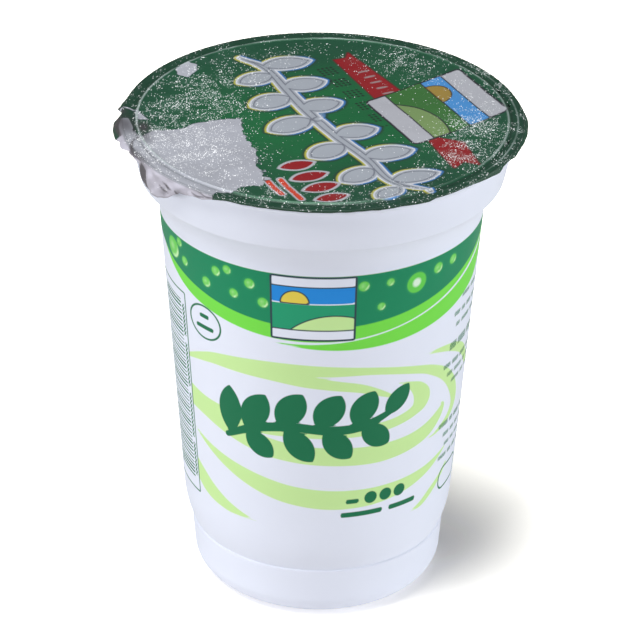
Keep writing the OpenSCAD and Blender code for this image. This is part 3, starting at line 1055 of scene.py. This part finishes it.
@dataclass
class LidPrint:
    """Everything printed on the foil, and the painted shade and glints on it, as distances in millimetres
    on the flat lid.
    """

    rim_r: float
    ridge_in: float = 2.75
    # least and most share of painted glints
    painted_glints_least: float = 0.025
    painted_glints_most: float = 1.8

    def patch(self, x: Array, y: Array, angle: Array, s: Array) -> Array:
        """The bare silver patch, with a torn-looking stepped edge, and its run down the skirt."""
        corners = [(-36, -6.5), (-33.2, -9.0), (-31.3, -6.2), (-25.5, -4.5), (-24, -2.4), (-20, -1.0),
                   (-15.2, 0.0), (-15.4, -4.0), (-14.4, -8.2), (-12.1, -13.0), (-11.5, -19.2),
                   (-9.9, -24.4), (-11.2, -27.2), (-15.0, -29.0), (-17.0, -31.5), (-21.5, -33.2),
                   (-25, -40), (-42, -30)]
        base = polygon(x, y, corners)
        steps = plane_ripples(np.round(x / 0.9) * 0.9, np.round(y / 0.9) * 0.9, 31, (2.0, 5.0), 8)
        fine = plane_ripples(x, y, 32, (1.2, 2.6), 8)
        right = np.clip((x + 20) / 5, 0, 1) * np.clip(1 - (y + 1) / 3, 0, 1)
        flat = base + 0.32 * right * steps + (0.06 + 0.1 * right) * fine
        around = np.abs((angle + 55 + 540) % 360 - 180)
        further = 7 * np.clip(-angle - 60, 0, 10) / 10 * np.clip(1 - (s - self.rim_r) / 0.6, 0, 1)
        wrap = (around - 25 - further + 1.6 * np.cos(np.radians(angle * 23))) * 0.65
        outer = np.clip((s - self.rim_r + 2.4) / 1.2, 0, 1)
        return flat * (1 - outer) + wrap * outer

    def small_bare(self, x: Array, y: Array) -> Array:
        """The two small bare places near the ridge, and the bare fold beside them."""
        spot = ellipse(x, y, (-25.9, 20.0), (1.7, 3.0), -12) + 0.25 * plane_ripples(x, y, 33, (1.2, 3), 6)
        corner = polygon(x, y, [(-34.8, 2.4), (-32.3, -1.5), (-34.6, -1.9)])
        fold = stroke(x, y, [(-38.9, 4.2, 0.1), (-37.2, 3.5, 0.2),
                             (-35.6, 2.6, 0.22), (-34.2, 1.6, 0.15)], 3)
        return merge(spot, corner, fold)

    def garland(self, x: Array, y: Array) -> Array:
        """The broad silver sprig that runs slantwise over the lid."""
        stem = [(-16.0, 25.6, 0.7), (-11, 21.5, 1.2), (-7.2, 13, 1.4), (-3, 3, 1.45), (2.6, -7.5, 1.4),
                (8, -16, 1.35), (12.5, -24.5, 1.2), (19.5, -29, 0.6)]
        leaves = (
            (-12.5, 22.0, -2.0, 25.4, 3.0), (-9.0, 19, -16.4, 14.4, 2.9), (-8.2, 13.0, 0.8, 16.6, 3.2),
            (-5.6, 9.5, -13.6, 4.2, 3.3), (-4.8, 3.6, 3.8, 7.4, 3.2), (-1.6, 0.0, -10.2, -5.6, 3.4),
            (1.6, -7.2, 10.4, -3.4, 3.1), (4.6, -10.4, -2.6, -16.0, 3.2), (6.8, -15.8, 17.0, -11.8, 3.1),
            (10, -19.8, 3.2, -25.8, 3.0), (11.8, -24.6, 21.6, -21.0, 2.8), (14.5, -26.6, 9.6, -32.4, 2.4))
        return merge(stroke(x, y, stem), *(leaf(x, y, (a, b), (c, d), w) for a, b, c, d, w in leaves))

    def red_leaves(self, x: Array, y: Array) -> Array:
        """A short row of red leaves."""
        leaves = ((-7.6, -20.2, -1.6, -17.6, 1.5), (-5.4, -24.6, 0.8, -21.8, 1.6),
                  (-3.2, -29.0, 2.9, -26.2, 1.6), (-1.0, -33.2, 4.6, -30.8, 1.4))
        return merge(*(leaf(x, y, (a, b), (c, d), w) for a, b, c, d, w in leaves))

    def dashes(self, x: Array, y: Array) -> Array:
        """Two rows of short red bars beside the red leaves."""
        rows = (((-10.2, -24.6), (-6.9, -31.2)), ((-7.6, -24.4), (-3.4, -33.4)))
        shapes = []
        for (ax, ay), (bx, by) in rows:
            for k in range(3):
                p, q = k / 3 + 0.03, (k + 1) / 3 - 0.06
                ends = [(ax + (bx - ax) * t, ay + (by - ay) * t, 0.5) for t in (p, (p + q) / 2, q)]
                shapes.append(stroke(x, y, ends, 2))
        return merge(*shapes)

    def ribbon(self, x: Array, y: Array) -> Array:
        """The red ribbon behind the badge, with a notch cut into each end."""
        upper = [(4.6, 28.8), (4.2, 26.4), (1.9, 25.6), (9.8, 9.0), (16.5, 9.5)]
        tail = [(19.0, -6.0), (26.0, -8.5), (28.6, -18.4), (25.7, -16.9), (24.0, -19.6), (19.8, -9.0)]
        return np.minimum(polygon(x, y, upper), polygon(x, y, tail))

    def ribbon_dashes(self, x: Array, y: Array) -> Array:
        """Short pale bars along the ribbon."""
        shapes = []
        for k in range(5):
            cx, cy = 7.6 + 1.15 * k, 20.6 - 2.2 * k
            bar = [(cx - 0.8, cy - 0.45, 0.26), (cx, cy, 0.3), (cx + 0.8, cy + 0.45, 0.26)]
            shapes.append(stroke(x, y, bar, 2))
        return merge(*shapes)

    def crease_shades(self, angle: Array, s: Array) -> Array:
        """Painted shade in the folds and pits of the skirt and the rim, as places around and outwards.

        Places run along the edge in millimetres, s outwards less the rim's radius.
        """
        x, y = np.radians(angle) * self.rim_r, s - self.rim_r
        strokes = (
            [(-39.9, 0.9, 0.2), (-39.3, 1.8, 0.8), (-38.7, 2.7, 1.05), (-37.9, 3.7, 0.6),
             (-37.0, 4.6, 0.1)],
            [(-32.4, 1.4, 0.1), (-31.2, 1.9, 0.3), (-30.0, 2.0, 0.15)],
            [(-28.8, 1.8, 0.25), (-28.1, 2.1, 0.3)],
            [(-33.6, 2.3, 0.1), (-32.2, 2.9, 0.22), (-30.8, 3.0, 0.05)],
            [(-25.0, 0.7, 0.08), (-23.8, 1.1, 0.16), (-22.4, 0.9, 0.08)],
            [(-23.4, 0.2, 0.06), (-21.8, 0.6, 0.14), (-20.4, 0.5, 0.06)],
            [(-49, -2.4, 0.1), (-47.5, -1.0, 0.2), (-45, 0.0, 0.24), (-42, 0.3, 0.2), (-40, 0.4, 0.1)],
            [(-60, 0.7, 0.2), (-57, 0.5, 0.35), (-54, 0.6, 0.35), (-51, 0.4, 0.2)],
            [(-67, 0.6, 0.1), (-65, 0.9, 0.3), (-62.5, 0.7, 0.2)])
        return merge(*(stroke(x, y, knots, 3) for knots in strokes))

    def fold_shade(self, angle: Array, s: Array) -> Array:
        """Soft painted shade and dark reflection where the folded foil looks into shade, from 0 to 1."""
        out = s - self.rim_r
        total = np.zeros(s.shape)
        places = ((-84, 6, -0.6, 1.6, 0.75), (-75, 5, -3.6, 1.0, 0.5), (-82, 3.5, -3.9, 1.2, 0.9),
                  (-92.5, 1.5, 0.4, 1.0, 0.8), (-64, 5, -0.2, 0.5, 0.5), (-61, 2.0, 2.0, 1.7, 0.8),
                  (-49.5, 1.4, 3.4, 0.8, 0.5), (-43, 1.2, 1.6, 0.6, 0.5), (-87, 2.0, 1.0, 0.9, 0.7))
        for at, wide, off, deep, high in places:
            apart = (angle - at + 540) % 360 - 180
            total += high * np.exp(-(apart / wide)**2 - ((out - off) / deep)**2)
        return np.clip(total, 0, 1)

    def badge(self, x: Array, y: Array) -> dict[str, Array]:
        """The cup's picture again, larger, turned and a little slanted."""
        u = 0.457 * (x - 21.5) - 0.889 * (y - 5.5)
        v = 0.889 * (x - 21.5) + 0.457 * (y - 5.5)
        picture = Picture(half_w=9.8, half_h=11.1, strip=4.5, sky=4.8, sun_x=-4.2, sun_r=3.6, rounding=0.9)
        return picture.fields("badge", u + 0.21 * v + 0.45, v)

    def painted_glints(self, x: Array, y: Array, angle: Array, s: Array) -> Array:
        """Share of painted glints, where the foil's fine facets catch light, as soft blobs."""
        spots = ((-22, 11, 8.5, 11, 0.8), (-9, 28, 9, 4.5, 0.25), (12, 26, 6, 5, 0.36),
                 (17, 22, 5, 7, 0.35), (29, -4, 6, 9, 0.8), (24, -14, 5, 6, 0.75),
                 (14, -28, 8, 3.6, 0.45), (-27, -11, 9, 8, 1.25), (-19, -20, 7, 8, 0.45),
                 (-10, -30, 7, 3.5, 0.4), (-30, 0, 4, 10, 0.35), (30, 16, 6, 8, 0.3),
                 (0, -33.5, 16, 2.2, 0.3))
        total = np.full(x.shape, self.painted_glints_least)
        for cx, cy, sx, sy, high in spots:
            total = total + high * np.exp(-((x - cx) / sx)**2 - ((y - cy) / sy)**2)
        edge = np.clip((s - self.rim_r + 1.4) / 1.2, 0, 1)
        # painted glints along the rim, most at the back right and at the right
        rim = 0.28 * edge * (0.3 + swell(angle, 150, 35) + swell(angle, 80, 40))
        return np.clip(total + rim, 0, self.painted_glints_most)

    def fields(self, points: Array, angle: Array, s: Array) -> dict[str, Array]:
        """All of the print's distances for points on the foil, with the painted shade and glints.

        Args:
            points: Points in metres.
            angle: Directions in degrees.
            s: The foil's own coordinate outwards, in millimetres.

        Returns:
            Named distances, negative where there is ink or painted crease shade, the painted fold shade and
            the share of painted glints.
        """
        x, y = points[..., 0] / MM, points[..., 1] / MM
        sprig, step = self.garland(x, y), 0.05
        code_u, code_v = 0.895 * (x - 6.0) + 0.447 * (y - 10.5), -0.447 * (x - 6.0) + 0.895 * (y - 10.5)
        return self.badge(x, y) | {
            "garland": sprig, "garland_side": (self.garland(x + step, y) - sprig) / step,
            "bare": self.patch(x, y, angle, s), "bare_small": self.small_bare(x, y),
            "red_leaves": self.red_leaves(x, y), "dashes": self.dashes(x, y), "ribbon": self.ribbon(x, y),
            "ribbon_dashes": self.ribbon_dashes(x, y), "crease_shade": self.crease_shades(angle, s),
            "fold_shade": self.fold_shade(angle, s), "ring": s - (self.rim_r - self.ridge_in),
            "painted_glints": self.painted_glints(x, y, angle, s), "code": slab(code_u, code_v, (0, 0), (1.8, 14.4), 0.1)}


@dataclass(frozen=True)
class LacqueredFoil:
    """Green lacquer over aluminium, with bare metal, silver print, painted glints, painted highlights and
    painted shade.
    """

    deep: Colour = (0.006, 0.060, 0.030)
    fresh: Colour = (0.004, 0.115, 0.034)
    # colour of the painted shade past the ridge
    rim_shade: Colour = (0.003, 0.030, 0.016)
    metal: Colour = (0.415, 0.43, 0.485)
    skirt: Colour = (0.47, 0.45, 0.53)
    silver: Colour = (0.34, 0.37, 0.42)
    silver_light: Colour = (0.60, 0.62, 0.68)
    silver_dark: Colour = (0.13, 0.14, 0.18)
    fringe_shade: Colour = (0.012, 0.05, 0.03)
    fringe_warm: Colour = (0.42, 0.40, 0.06)
    fringe_cool: Colour = (0.04, 0.16, 0.42)
    red: Colour = (0.25, 0.006, 0.010)
    orange: Colour = (0.55, 0.05, 0.02)
    ribbon_edge: Colour = (0.10, 0.008, 0.012)
    ribbon_bar: Colour = (0.30, 0.22, 0.23)
    white: Colour = (0.40, 0.41, 0.455)
    black: Colour = (0.02, 0.02, 0.03)
    badge_edge: Colour = (0.012, 0.015, 0.015)
    field: Colour = (0.035, 0.14, 0.03)
    sky: Colour = (0.06, 0.25, 0.58)
    sun: Colour = (0.30, 0.20, 0.04)
    sun_line: Colour = (0.05, 0.03, 0.01)
    hill: Colour = (0.17, 0.27, 0.10)
    code: Colour = (0.008, 0.02, 0.014)
    # colour of the painted haze that the glints leave
    glint_haze: Colour = (0.24, 0.40, 0.35)
    torn: Colour = (0.02, 0.05, 0.05)
    # painted highlight colours: the ridge, then the ring line at the right
    ridge_highlight: Colour = (0.42, 0.50, 0.49)
    side_ring_highlight: Colour = (0.33, 0.42, 0.40)
    # painted shade colours: the grooves, the folded foil, the creases
    groove: Colour = (0.008, 0.022, 0.016)
    fold_shade: Colour = (0.055, 0.05, 0.058)
    crease_shade: Colour = (0.05, 0.045, 0.05)
    # colour of the painted glints
    painted_glint: Colour = (0.93, 0.95, 0.97)
    dot_pitch: float = 0.9
    rim_at: float = 2.7
    # cell size and share of the painted glints
    facets: tuple[Pair, ...] = ((0.19, 0.75), (0.28, 0.26))

    def dress(self, piece: Piece, ink: Tree, grain: Tree) -> None:
        """Give the piece this material.

        Args:
            piece: The foil, with the print's distances as attributes.
            ink: The group that lays one ink over another colour.
            grain: The group of surface unevenness.
        """
        material, sheet, shader = new_material("lacquered_foil")
        uneven = sheet.group(grain, Fine=0.5, Broad=0.6).outputs
        x, y = sheet.place_mm("X", "Y")
        inks = Inks(sheet, ink, self.lacquer(sheet, uneven["Tone"], x, y), 0.1)
        self.print_lid(inks)
        self.dot_code(inks, x, y)
        # painted glints and the share of their painted haze
        painted_glint, glint_haze = self.paint_glints(sheet)
        # painted haze: the glints' share lightens the colour a little
        inks.tint(sheet.times(glint_haze, 0.11), self.glint_haze)
        skirt = sheet.scale(sheet.field("ring"), self.rim_at, self.rim_at + 0.3, 0.0, 1.0)
        bare = self.bare_metal(inks, uneven["Tone"], skirt)
        # painted highlights on the ridge and a ring line, and painted shade in the grooves
        self.rings(inks, x, y)
        # painted shade and dark reflection of the folded foil
        inks.tint(sheet.field("fold_shade"), self.fold_shade)
        # painted shade in the folds and pits of the skirt and the rim
        inks.lay("crease_shade", self.crease_shade, soft=0.16, cover=0.85)
        # painted glints: bright cells in the base colour
        inks.tint(painted_glint, self.painted_glint)
        sheet.put(shader.inputs["Base Color"], inks.colour)
        dull = sheet.math("MAXIMUM", painted_glint, sheet.times(skirt, 0.45))
        metallic = sheet.times(sheet.scale(bare, 0, 1, 0.3, 0.5), sheet.minus(1.0, dull))
        sheet.put(shader.inputs["Metallic"], metallic)
        rough = sheet.math("ADD", sheet.scale(uneven["Tone"], 0.3, 0.7, 0.36, 0.48),
                           sheet.times(sheet.math("MAXIMUM", skirt, bare), 0.18))
        sheet.put(shader.inputs["Roughness"], rough)
        sheet.bump(shader, sheet.math("ADD", uneven["Height"], sheet.times(painted_glint, 0.4)), 0.35, 0.0002)
        piece.data.materials.append(material)

    def lacquer(self, sheet: Sheet, slow: Socket, x: Socket, y: Socket) -> Socket:
        """The green lacquer: fresher at the middle and deep outwards, with painted shade darkest past the
        ridge.
        """
        far = sheet.math("SQRT", sheet.math("ADD", sheet.times(x, x), sheet.times(y, y)))
        middle = sheet.scale(far, 8, 33, 1.0, 0.12, smooth=True)
        tone = sheet.math("ADD", middle, sheet.scale(slow, 0.3, 0.7, -0.12, 0.12), clamp=True)
        # painted shade: the band past the ridge turns darkest
        band = sheet.scale(sheet.field("ring"), 0.2, 0.6, 0.0, 0.6)
        return sheet.blend(band, sheet.blend(tone, self.deep, self.fresh), self.rim_shade)

    def print_lid(self, inks: Inks) -> None:
        """Print the silver sprig, the ribbon, the badge, the red leaves and the dashes."""
        side = inks.sheet.scale(inks.sheet.field("garland_side"), -0.4, 0.4, 0.0, 1.0)
        fringe = inks.sheet.blend(side, self.fringe_warm, self.fringe_cool)
        inks.lay("garland", self.fringe_shade, 0.9, 0.3)
        inks.lay("garland", fringe, 0.42, 0.16)
        inks.lay("garland", self.silver)
        inks.line("garland", self.silver_light, 0.16, -0.12)
        inks.line("garland", self.silver_dark, 0.12, -0.8)
        inks.lay("ribbon", self.ribbon_edge, 0.25, 0.2)
        inks.lay("ribbon", self.red)
        inks.lay("ribbon_dashes", self.ribbon_bar, soft=0.2)
        inks.lay("badge", self.badge_edge, 0.3)
        inks.lay("badge", self.field)
        for name, tint, edge, half in (
                ("badge_sky", self.sky, self.black, 0.15), ("badge_sun", self.sun, self.sun_line, 0.14),
                ("badge_hill", self.hill, self.black, 0.15), ("badge_strip", self.white, self.black, 0.15)):
            inks.lay(name, tint)
            inks.line(name, edge, half)
        for name, tint, rim in (("red_leaves", self.red, 0.55), ("dashes", self.orange, 0.35)):
            inks.lay(name, self.white, rim, 0.14)
            inks.lay(name, tint)

    def dot_code(self, inks: Inks, x: Socket, y: Socket) -> None:
        """Print the black dots: slanted rows of evenly spaced round dots, with gaps between groups."""
        sheet = inks.sheet
        along = sheet.math("ADD", sheet.times(x, -0.447), sheet.times(y, 0.895))
        across = sheet.math("ADD", sheet.times(x, 0.895), sheet.times(y, 0.447))
        offsets = [sheet.minus(sheet.math("FRACT", sheet.math("DIVIDE", value, self.dot_pitch)), 0.5)
                   for value in (along, across)]
        gap = sheet.math("SQRT", sheet.math("ADD", *(sheet.times(value, value) for value in offsets)))
        group = sheet.math("FRACT", sheet.math("DIVIDE", along, 6 * self.dot_pitch))
        zone = sheet.times(sheet.math("LESS_THAN", group, 4 / 6),
                           sheet.math("LESS_THAN", sheet.field("code"), 0.0),
                           sheet.math("GREATER_THAN", sheet.field("badge"), 0.5))
        inks.over(self.code, gap, 0.32, 0.16, zone)

    def bare_metal(self, inks: Inks, slow: Socket, skirt: Socket) -> Socket:
        """Bare the metal inside a dark torn edge, paler on the skirt, and return its mask."""
        sheet = inks.sheet
        bare = sheet.math("MINIMUM", sheet.field("bare"), sheet.field("bare_small"))
        cloudy = sheet.scale(slow, 0.3, 0.7, 0.0, 1.0)
        inks.over(self.torn, bare, 0.18, 0.2)
        mask = inks.over(sheet.blend(cloudy, tuple(0.86 * c for c in self.metal), self.metal), bare)
        inks.over(self.skirt, bare, cover=sheet.times(skirt, 0.8))
        return mask

    def rings(self, inks: Inks, x: Socket, y: Socket) -> None:
        """Paint highlights on the ridge, patchy, brighter to the left and towards the back, and on a line
        near the rim at the right, and paint shade in the grooves beside them.
        """
        sheet = inks.sheet
        patchy = sheet.scale(sheet.noise(9.0, 3.0, 0.6), 0.35, 0.65, 0.0, 0.7)
        # share of the ridge's painted highlight, patchy, brighter to the left and towards the back
        ridge_highlight = sheet.math("ADD", patchy, sheet.scale(x, -36, -20, 0.5, 0.0), clamp=True)
        ridge_highlight = sheet.times(ridge_highlight, sheet.scale(y, -34, -12, 0.2, 1.0))
        # share of the painted highlight on the ring line at the right
        side = sheet.times(sheet.scale(x, 18, 32, 0.0, 1.0), ridge_highlight)
        for at, tint, half, soft, cover in (
                (0.0, self.ridge_highlight, 0.18, 0.1, ridge_highlight), (1.75, self.side_ring_highlight, 0.12, 0.12, side),
                (0.62, self.groove, 0.14, 0.22, 0.6), (2.72, self.groove, 0.12, 0.2, 0.5)):
            inks.line("ring", tint, half, at, soft, cover)

    def paint_glints(self, sheet: Sheet) -> tuple[Socket, Socket]:
        """Painted glints of fine facets: small cells, painted bright where a random draw is under the
        glints' share.

        Returns:
            The painted glints' strength and their share.
        """
        streaks = sheet.scale(sheet.noise(5.0, 4.0, 0.65, 1.6), 0.42, 0.60, 0.10, 1.5)
        off_skirt = sheet.scale(sheet.field("ring"), self.rim_at, self.rim_at + 0.4, 1.0, 0.1)
        off_fold_shade = sheet.scale(sheet.field("fold_shade"), 0.0, 0.6, 1.0, 0.2)
        share = sheet.times(sheet.times(sheet.field("painted_glints"), streaks), sheet.times(off_skirt, off_fold_shade))
        long = sheet.node("ShaderNodeVectorMath", operation="MULTIPLY")
        sheet.put(long.inputs[0], sheet.place())
        sheet.put(long.inputs[1], (1.0, 0.58, 1.0))
        masks = []
        for size, part in self.facets:
            cell = sheet.node("ShaderNodeTexVoronoi", feature="F1")
            sheet.put(cell.inputs["Vector"], long.outputs[0])
            sheet.put(cell.inputs["Scale"], 1 / (size * MM))
            split = sheet.node("ShaderNodeSeparateColor")
            sheet.put(split.inputs[0], cell.outputs["Color"])
            lit = sheet.math("LESS_THAN", split.outputs[0], sheet.times(share, part))
            reach = sheet.scale(split.outputs[1], 0, 1, 0.26, 0.55)
            dot = sheet.scale(sheet.minus(reach, cell.outputs["Distance"]), 0.0, 0.12, 0.0, 1.0)
            masks.append(sheet.times(sheet.times(lit, dot), sheet.scale(split.outputs[2], 0, 1, 0.5, 1.0)))
        return sheet.math("MAXIMUM", *masks), share


class FoilLid:
    """The foil lid."""

    def __init__(self) -> None:
        """Take the rim that the foil lies on from the cup's CAD node."""
        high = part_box(Part.CUP.value)[1]
        self.form = FoilForm(rim_r=high.x / MM, seat_z=high.z / MM)
        self.art = LidPrint(rim_r=self.form.rim_r)

    def build(self, ink: Tree, grain: Tree) -> Piece:
        """Make the foil's mesh, its print and its material."""
        angle, s, points = self.form.rings()
        low = np.array([[0, 0, (self.form.seat_z - 0.6) * MM]])
        high = np.array([[0, 0, points[-1, :, 2].mean()]])
        piece = turned_piece("lid_foil", points, low, high, self.art.fields(points, angle, s))
        LacqueredFoil().dress(piece, ink, grain)
        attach(piece, "root")
        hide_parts(Part.FOIL.value)
        return piece


# ---------------------------------------------------------------- the studio


@dataclass
class Studio:
    """Pale floor, soft lights and the camera."""

    distance: float = 0.8
    elevation: float = 28.94
    roll: float = 0.795
    aim_z: float = 0.05248
    lens: float = 236.7
    ambient: float = 0.17
    floor_half: float = 6.0
    floor_z: float = -0.00005
    floor_tone: Colour = (0.5, 0.485, 0.462)
    floor_lift: Colour = (1.10, 1.075, 1.02)
    # middle of the floor's painted shadow, in metres
    painted_shadow_at: Colour = (0.022, 0.006, 0.0)
    white: Colour = (1.0, 1.0, 1.0)

    def floor(self) -> None:
        """Lay the pale floor.

        It gives the camera more light than it gives the pot, as an overexposed sweep does,
        less of it close to where the pot stands as a painted shadow beside the pot's right side,
        a painted glow round the pot's foot for all rays but the camera's, and it can't be seen from below.
        """
        half, low = self.floor_half, self.floor_z
        corners = [(-half, -half, low), (half, -half, low), (half, half, low), (-half, half, low)]
        mesh = bpy.data.meshes.new("floor")
        mesh.from_pydata(corners, [], [(0, 1, 2, 3)])
        material, sheet, unused = new_material("pale_floor")
        material.node_tree.nodes.remove(unused)
        seen = sheet.wire("ShaderNodeLightPath", out="Is Camera Ray")
        # painted shadow: the camera's lift is less near a point beside the pot's right side
        beside = sheet.wire("ShaderNodeVectorMath", sheet.place(), self.painted_shadow_at, out="Value",
                            operation="DISTANCE")
        far = sheet.wire("ShaderNodeVectorMath", sheet.place(), out="Value", operation="LENGTH")
        share = sheet.times(seen, sheet.scale(beside, 0.0, 0.030, 0.30, 1.0))
        # painted glow: near the pot the floor glows for rays other than the camera's and lights the pot's
        # foot
        near = sheet.scale(far, 0.015, 0.06, 0.36, 0.0, smooth=True)
        away = sheet.scale(far, 0.3, 0.9, 0.0, 1.0, smooth=True)
        plain = sheet.wire("ShaderNodeBsdfDiffuse", self.floor_tone)
        lifted = sheet.wire("ShaderNodeBsdfDiffuse", sheet.blend(share, (0.0, 0.0, 0.0), self.floor_lift))
        glow = sheet.wire("ShaderNodeEmission", self.white, sheet.blend(seen, near, away))
        both = sheet.wire("ShaderNodeAddShader", plain, lifted)
        every = sheet.wire("ShaderNodeAddShader", both, glow)
        below = sheet.wire("ShaderNodeNewGeometry", out="Backfacing")
        sided = sheet.wire("ShaderNodeMixShader", below, every, sheet.wire("ShaderNodeBsdfTransparent"))
        sheet.put(material.node_tree.nodes["Material Output"].inputs["Surface"], sided)
        mesh.materials.append(material)
        piece = bpy.data.objects.new("floor", mesh)
        bpy.context.collection.objects.link(piece)

    def light(self, name: str, place: Colour, size: Pair, power: float, tint: Colour) -> None:
        """Hang one soft light that faces the pot."""
        data = bpy.data.lights.new(name, "AREA")
        data.shape = "RECTANGLE"
        data.size, data.size_y = size
        data.energy = power
        data.color = tint
        lamp = bpy.data.objects.new(name, data)
        lamp.location = place
        lamp.rotation_euler = (Vector((0, 0, 0.06)) - Vector(place)).to_track_quat("-Z", "Y").to_euler()
        bpy.context.collection.objects.link(lamp)

    def camera(self) -> None:
        """Set the camera at its angle, turned a little about its own axis."""
        up = math.radians(self.elevation)
        data = bpy.data.cameras.new("camera")
        data.lens = self.lens
        data.sensor_width = 36.0
        data.clip_start = 0.05
        eye = bpy.data.objects.new("camera", data)
        level = Euler((math.pi / 2 - up, 0, 0)).to_matrix()
        eye.rotation_euler = (level @ Matrix.Rotation(math.radians(self.roll), 3, "Z")).to_euler()
        eye.location = (0, -self.distance * math.cos(up), self.aim_z + self.distance * math.sin(up))
        bpy.context.collection.objects.link(eye)
        bpy.context.scene.camera = eye

    def build(self) -> None:
        """Make the whole studio."""
        scene = bpy.context.scene
        scene.view_settings.view_transform = "Standard"
        scene.world = bpy.data.worlds.new("studio")
        scene.world.use_nodes = True
        sky = scene.world.node_tree.nodes["Background"]
        sky.inputs["Color"].default_value = (*self.white, 1.0)
        sky.inputs["Strength"].default_value = self.ambient
        self.floor()
        for name, place, size, power, tint in (
                ("key_box", (-0.30, -0.36, 0.95), (0.45, 0.45), 5.8, self.white),
                ("top_box", (-0.03, -0.03, 1.05), (0.32, 0.32), 6.6, self.white),
                ("left_box", (-0.95, -0.15, 0.12), (0.6, 0.24), 3.9, (0.98, 1.0, 0.99)),
                ("right_box", (0.95, -0.12, 0.12), (0.6, 0.24), 5.0, (0.96, 1.0, 1.0)),
                ("front_box", (0.1, -1.0, 0.14), (0.7, 0.26), 1.75, (1.0, 0.99, 1.0))):
            self.light(name, place, size, power, tint)
        self.camera()


def main() -> None:
    """Build the studio, the cup and the foil lid, and log each piece."""
    logging.basicConfig(level=logging.INFO, format="%(name)s: %(message)s")
    Studio().build()
    ink, grain = ink_group(), grain_group()
    for maker in (Cup(), FoilLid()):
        piece = maker.build(ink, grain)
        mesh = piece.data
        LOG.info("%s: %d vertices, %d faces", piece.name, len(mesh.vertices), len(mesh.polygons))


if __name__ == "__main__":
    main()
